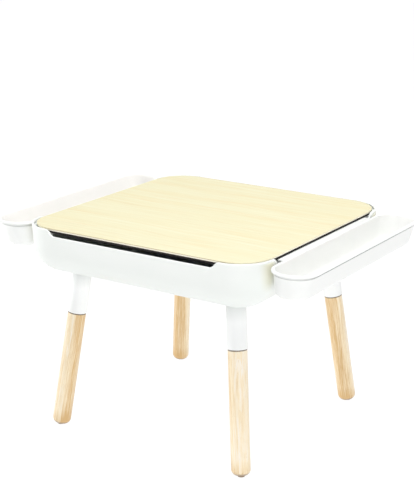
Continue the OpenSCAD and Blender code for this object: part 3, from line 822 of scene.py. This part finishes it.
legShape = {
    "offset": 194.6, "lean": 9.3, "floor": 361.0, "drop": 99.6,
    "diameter": 40.0, "poleRadius": 1.5, "tenon": 34.0, "tenonLong": 45.0, "tenonSoft": 1.0, "tenonRoot": 0.4,
    "footRound": 12.5, "footFrom": -82, "footSteps": 9, "footRun": 3.0,
    "shoulderRound": 1.4, "shoulderRun": 2.0, "levels": (0.75, 0.5, 0.25), "segments": 56,
    "padDiameter": 16.0, "padThick": 2.2, "padTop": 0.4, "padPole": 1.0, "padSegments": 40,
    "padEdge": ((2.5, 5.0), (1.2, 5.0), (0.4, 2.0), (0.0, 1.0)),   # in from its rim, below the leg's end
    "padHeights": (0, 0, 0.12, 0.5, 1.3),   # of its first points over the floor
    "bearings": {"front_left": 225, "front_right": 315, "back_left": 135, "back_right": 45},
    "rolls": {"front_left": 0, "front_right": 0, "back_left": 270, "back_right": 0},   # of the grain, and so of the painted light on the pale side
    "seed": 9,
}
legShape["joint"] = legShape["floor"] - legShape["drop"]
legShape["long"] = (legShape["joint"] - legShape["padThick"]) / cos(radians(legShape["lean"]))
legShape["radius"] = legShape["offset"] * sqrt(2) + legShape["drop"] * tan(radians(legShape["lean"]))


def turned(degrees, axis="Z"):
    return Matrix.Rotation(radians(degrees), 4, axis)


def moved(x, y, z):
    return Matrix.Translation((x, y, z))


def legStand(s, word):
    # the leg's own frame: origin where wood meets socket, +Z up the leg, millimetres
    return turned(s["bearings"][word]) @ moved(s["radius"], 0, s["joint"]) @ turned(-s["lean"], "Y")


def underTub(s, word):
    # the middle of a socket's flange, turned towards its corner
    return turned(s["bearings"][word]) @ moved(s["offset"] * sqrt(2), 0, 0)


def lathe(bm, profile, segments):
    # turns a section (radius, height) about +Z; both ends are capped
    columns = []
    for k in range(segments):
        a = 2 * pi * k / segments
        columns.append([(r * cos(a), r * sin(a), z) for r, z in profile])
    return skin(bm, columns)


def carry(columns, stand):
    # moves turned points to where they belong; the stand is in millimetres
    for column in columns:
        for v in column:
            v.co = (stand @ (v.co / mm)) * mm


def slideTo(v, stand, height):
    # along the leg until the point is at this height
    up = stand.to_3x3() @ Vector((0, 0, 1))
    v.co += up * (height * mm - v.co.z) / up.z


def legBlank(s):
    r, low, fr, sr = s["diameter"] / 2, -s["long"], s["footRound"], s["shoulderRound"]
    tenon, top, soft, root = s["tenon"] / 2, s["tenonLong"], s["tenonSoft"], s["tenonRoot"]
    pole = s["poleRadius"]
    profile = [(pole, low), (r - fr, low)]
    profile += arc((r - fr, low + fr), fr, s["footFrom"], 0, s["footSteps"])
    profile += [(r, low + fr + s["footRun"])] + [(r, low * share) for share in s["levels"]]
    profile.append((r, -sr - s["shoulderRun"]))
    profile += arc((r - sr, -sr), sr, 0, 90, 4)
    profile += [(tenon + root, 0), (tenon, root), (tenon, top - soft), (tenon - soft, top), (pole, top)]
    bm = bmesh.new()
    lathe(bm, profile, s["segments"])
    blank = finishMesh("legBlank", bm, finishes["beech"])
    grain = blank.data.attributes.new("grainPlace", "FLOAT_VECTOR", "POINT")
    for k, vert in enumerate(blank.data.vertices):
        grain.data[k].vector = vert.co
    return blank


def spreadTree(name):
    # sets a template on every point of a mesh, turned as the point says
    tree = bpy.data.node_groups.new(name, "GeometryNodeTree")
    face = tree.interface
    face.new_socket("Geometry", in_out="OUTPUT", socket_type="NodeSocketGeometry")
    for label, kind in (("Places", "Geometry"), ("Template", "Object"), ("Size", "Float"), ("Roll", "Float"),
                        ("Seed", "Int"), ("Finish", "Material")):
        face.new_socket(label, in_out="INPUT", socket_type="NodeSocket" + kind)
    give = put(tree, "NodeGroupInput").outputs
    source = put(tree, "GeometryNodeObjectInfo", transform_space="ORIGINAL", Object=give["Template"])
    turn = put(tree, "GeometryNodeInputNamedAttribute", data_type="FLOAT_VECTOR", Name="turn")
    toTurn = put(tree, "FunctionNodeEulerToRotation", Euler=turn.outputs["Attribute"])
    spread = put(tree, "GeometryNodeInstanceOnPoints", Points=give["Places"], Scale=give["Size"],
                 Instance=source.outputs["Geometry"], Rotation=toTurn.outputs[0])
    chance = put(tree, "FunctionNodeRandomValue", data_type="FLOAT", Seed=give["Seed"]).outputs["Value"]
    keep = put(tree, "GeometryNodeStoreNamedAttribute", data_type="FLOAT", domain="INSTANCE",
               Name="pieceSeed", Geometry=spread.outputs["Instances"], Value=chance)
    spin = put(tree, "ShaderNodeCombineXYZ", Z=calc(tree, "MULTIPLY", chance, give["Roll"]))
    toSpin = put(tree, "FunctionNodeEulerToRotation", Euler=spin.outputs[0])
    rolled = put(tree, "GeometryNodeRotateInstances", Instances=keep.outputs["Geometry"],
                 Rotation=toSpin.outputs[0])
    real = put(tree, "GeometryNodeRealizeInstances", Geometry=rolled.outputs["Instances"])
    dressed = put(tree, "GeometryNodeSetMaterial", Geometry=real.outputs["Geometry"], Material=give["Finish"])
    put(tree, "NodeGroupOutput", Geometry=dressed.outputs["Geometry"])
    return tree


spreader = spreadTree("setOnPlaces")


def spreadOut(name, template, places, finish, roll=0.0, seed=0, size=1.0):
    # places are 4x4 matrices in metres; the result is one plain mesh
    mesh = bpy.data.meshes.new(name + "Places")
    mesh.from_pydata([m.translation for m in places], [], [])
    turn = mesh.attributes.new("turn", "FLOAT_VECTOR", "POINT")
    for k, m in enumerate(places):
        turn.data[k].vector = m.to_euler("XYZ")
    piece = link(name, mesh)
    modifier = piece.modifiers.new("setOnPlaces", "NODES")
    modifier.node_group = spreader
    ids = {item.name: item.identifier for item in spreader.interface.items_tree if item.in_out == "INPUT"}
    given = {"Template": template, "Size": size, "Roll": roll, "Seed": seed, "Finish": finish}
    for label, value in given.items():
        modifier[ids[label]] = value
    made = plainMesh(piece)
    piece.modifiers.clear()
    piece.data = made
    made.name = name
    bpy.data.objects.remove(template)
    return piece


def inMetres(matrix):
    out = matrix.copy()
    out.translation = matrix.translation * mm
    return out


stands = {word: legStand(legShape, word) for word in legShape["bearings"]}
screwedIn = [inMetres(stand @ turned(legShape["rolls"][word])) for word, stand in stands.items()]
legs = spreadOut("turned_legs", legBlank(legShape), screwedIn, finishes["beech"], seed=legShape["seed"])
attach(legs, "table")
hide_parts(*[word + "_leg" for word in stands])
print("legs turned:", len(legs.data.polygons), "faces")

socketShape = {
    "lowDiameter": 42.6, "topDiameter": 41.0, "lowRound": 1.2, "lowRun": 2.0, "lowTaper": 0.03,
    "topRun": 6.0, "cutSlack": 3.0, "bore": 34.3, "boreDepth": 20, "boreSoft": 0.4, "segments": 64,
    "flange": 60.0, "flangeThick": 5.0, "flangeSoft": 0.8, "poleRadius": 1.5,
    "bossCircle": 50.0, "boss": 9.0, "bossHigh": 7.0, "bossSoft": 0.5, "bossInto": 1.0, "bossSegments": 24,
}


def bossPlaces(s, leg, word, height=0):
    # the four screw bosses round a socket's flange
    foot = underTub(leg, word)
    return [foot @ turned(45 + 90 * k) @ moved(s["bossCircle"] / 2, 0, height) for k in range(4)]


def sleeve(s, leg, word):
    # a sleeve whose top is cut level where it meets the tub
    bm = bmesh.new()
    long = leg["drop"] / cos(radians(leg["lean"]))
    lowR, topR, rr = s["lowDiameter"] / 2, s["topDiameter"] / 2, s["lowRound"]
    bore, soft = s["bore"] / 2, s["boreSoft"]
    profile = [(bore, s["boreDepth"]), (bore, soft), (bore + soft, 0)] + arc((lowR - rr, rr), rr, -90, 0, 5)
    profile += [(lowR - s["lowTaper"], rr + s["lowRun"]), ((lowR + topR) / 2, long / 2)]
    profile += [(topR, long - s["topRun"]), (topR, long)]
    columns = lathe(bm, profile, s["segments"])
    carry(columns, stands[word])
    for column in columns:
        slideTo(column[-1], stands[word], leg["floor"])
        slideTo(column[-2], stands[word], leg["floor"] - s["cutSlack"])
    # the flange and its screw bosses under the tub
    z, half, e, pole = leg["floor"], s["flange"] / 2, s["flangeSoft"], s["poleRadius"]
    low = z - s["flangeThick"]
    plate = [(pole, low), (half - e, low), (half, low + e), (half, z), (pole, z)]
    carry(lathe(bm, plate, s["segments"]), underTub(leg, word))
    r, low, high, e = s["boss"] / 2, z - s["bossHigh"], z - s["bossInto"], s["bossSoft"]
    boss = [(1, low), (r - e, low), (r, low + e), (r, high), (1, high)]
    for spot in bossPlaces(s, leg, word):
        carry(lathe(bm, boss, s["bossSegments"]), spot)
    return finishMesh(word + "_leg_sleeve", bm, finishes["socket"])


def footPad(leg, word):
    # a hard disc let into the leg's end, level with the floor
    bm = bmesh.new()
    half, low, top, pole = leg["padDiameter"] / 2, -leg["long"], leg["padTop"] - leg["long"], leg["padPole"]
    edge = [(half - inward, low - down) for inward, down in leg["padEdge"]]
    profile = [(pole, edge[0][1])] + edge + [(half, top), (pole, top)]
    columns = lathe(bm, profile, leg["padSegments"])
    carry(columns, stands[word])
    for column in columns:
        for v, height in zip(column, leg["padHeights"]):
            slideTo(v, stands[word], height)
    return finishMesh(word + "_foot_pad", bm, finishes["glide"])


for word in stands:
    for piece, nodeName, slot in ((sleeve(socketShape, legShape, word), "_socket", "socket_plastic"),
                                  (footPad(legShape, word), "_glide", "glide")):
        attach(piece, "table")
        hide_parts(word + nodeName)
print("sleeves and pads fitted")

screwShape = {
    "head": 8.0, "headHigh": 2.6, "shank": 4.0, "long": 9.0, "point": 1.5, "poleRadius": 0.4, "edgeSoft": 0.2,
    "domeSteps": 6, "segments": 32,
    "slotWide": 1.0, "slotLong": 4.4, "slotDeep": 0.45, "slotTaper": 0.7,
    "seed": 11, "roll": 1.571,   # each cross is turned by up to a quarter
}


def screwBlank(s):
    half, edge, shank, long = s["head"] / 2, s["headHigh"] / 3, s["shank"] / 2, s["long"]
    high, pole, soft = s["headHigh"], s["poleRadius"], s["edgeSoft"]
    dome = high - edge
    domeR = (half * half + dome * dome) / (2 * dome)
    levels = [edge + dome * k / s["domeSteps"] for k in range(s["domeSteps"])]
    profile = [(pole, -long), (shank, -long + s["point"]), (shank, soft), (half - soft, 0.0), (half, soft)]
    profile += [(sqrt(max(domeR ** 2 - (z - high + domeR) ** 2, 0)), z) for z in levels] + [(pole, high)]
    bm = bmesh.new()
    lathe(bm, profile, s["segments"])
    blank = finishMesh("screwBlank", bm, finishes["screw"])
    cut = bmesh.new()
    w, l, taper = s["slotWide"] / 2, s["slotLong"] / 2, s["slotTaper"]
    cross = [(w, w), (w, l), (-w, l), (-w, w), (-l, w), (-l, -w), (-w, -w), (-w, -l), (w, -l), (w, -w),
             (l, -w), (l, w)]
    low = pin(cut, [(x * taper, y * taper, high * s["slotDeep"]) for x, y in cross])
    joinLoops(cut, [low, pin(cut, [(x, y, high + 1) for x, y in cross])])
    cutter = finishMesh("crossCutter", cut, finishes["screw"])
    bite = blank.modifiers.new("cross", "BOOLEAN")
    bite.operation, bite.object, bite.solver = "DIFFERENCE", cutter, "EXACT"
    made = plainMesh(blank)
    blank.modifiers.clear()
    blank.data = made
    bpy.data.objects.remove(cutter)
    return blank


underHead = legShape["floor"] + tubShape["wall"]
screwPlaces = [inMetres(spot) for word in stands
               for spot in bossPlaces(socketShape, legShape, word, underHead)]
screws = spreadOut("pan_head_screws", screwBlank(screwShape), screwPlaces, finishes["screw"],
                   roll=screwShape["roll"], seed=screwShape["seed"])
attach(screws, "table")
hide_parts(*[word + "_socket_screws" for word in stands])
print("screws driven:", len(screwPlaces))


def ribBlank(s, side):
    bm = bmesh.new()
    low, half, into = s["seat"] - s["ribUnder"] - s["ribHigh"], s["ribThick"] / 2, s["ribInto"]
    under, wall, gap = s["top"] - s["lipThick"] + into, s["lipReach"] + s["ribReach"], s["hookAt"] + into
    shape = [(s["outside"], s["seat"]), (s["outside"], low), (wall, low - s["ribHigh"] / 2), (wall, under),
             (s["lipReach"], under), (s["ribBend"], under + s["crown"]), (gap, under + s["crown"]),
             (gap, s["seat"])]
    joinLoops(bm, [pin(bm, [((s["start"] + x) * side, y, z) for x, z in shape]) for y in (-half, half)])
    bmesh.ops.recalc_face_normals(bm, faces=bm.faces)
    soften(bm, bm.edges[:], s["ribSoft"])
    return finishMesh("ribBlank", bm, finishes["tray"])


for side, word in ((-1, "left"), (1, "right")):
    half, count = trayShape["hookHalf"], trayShape["ribs"]
    pitch = 2 * half / count
    spots = [moved(0, ((k + 0.5) * pitch - half) * mm, 0) for k in range(count)]
    ribs = spreadOut(word + "_hook_ribs", ribBlank(trayShape, side), spots, finishes["tray"])
    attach(ribs, word + "_tray")
print("hook ribs set")

studio = {
    "zenith": 0.32,
    "horizon": 1.0,
    "bandLow": 0.06,   # sine of the height where the pale horizon starts to fade
    "bandHigh": 0.26,
    "floorHalf": 30,   # metres
    "floorSockets": {
        "Base Color": (0.10, 0.10, 0.10, 1), "Roughness": 0.9, "Specular IOR Level": 0.1,
        "Emission Color": (1, 1, 1, 1), "Emission Strength": 0.97,
    },
    "aim": (0, 0, 0.3),
    "lights": {
        "overhead": {"place": (0.6, -0.1, 3.2), "energy": 84, "size": 2.2},
        "keyLeft": {"place": (-3.5, -0.7, 1.3), "energy": 67, "size": 1.2},
        "fillRight": {"place": (2.3, -2.5, 1.25), "energy": 22, "size": 1.6},
    },
}


def dressStudio(s):
    scene.view_settings.view_transform = "Standard"
    world = bpy.data.worlds.new("studioAir")
    world.use_nodes = True
    air = world.node_tree
    height = split(air, put(air, "ShaderNodeTexCoord").outputs["Generated"])["Z"]
    glow = air.nodes["Background"].inputs
    feed(air, glow["Color"], (1, 1, 1, 1))
    feed(air, glow["Strength"], remap(air, height, s["bandLow"], s["bandHigh"], s["horizon"], s["zenith"]))
    scene.world = world
    material, tree, shader = newFinish("paleFloor")
    for label, value in s["floorSockets"].items():
        feed(tree, shader.inputs[label], value)
    bm = bmesh.new()
    bmesh.ops.create_grid(bm, x_segments=1, y_segments=1, size=s["floorHalf"])
    mesh = bpy.data.meshes.new("paleFloor")
    bm.to_mesh(mesh)
    bm.free()
    mesh.materials.append(material)
    floor = link("paleFloor", mesh)
    for name, how in s["lights"].items():
        lamp = bpy.data.lights.new(name, "AREA")
        lamp.energy, lamp.size = how["energy"], how["size"]
        rig = link(name, lamp)
        rig.location = how["place"]
        rig.visible_glossy = False   # no lamp mirrored in the lid
        rig.rotation_euler = (Vector(s["aim"]) - rig.location).to_track_quat("-Z", "Y").to_euler()


dressStudio(studio)
print("studio lit")
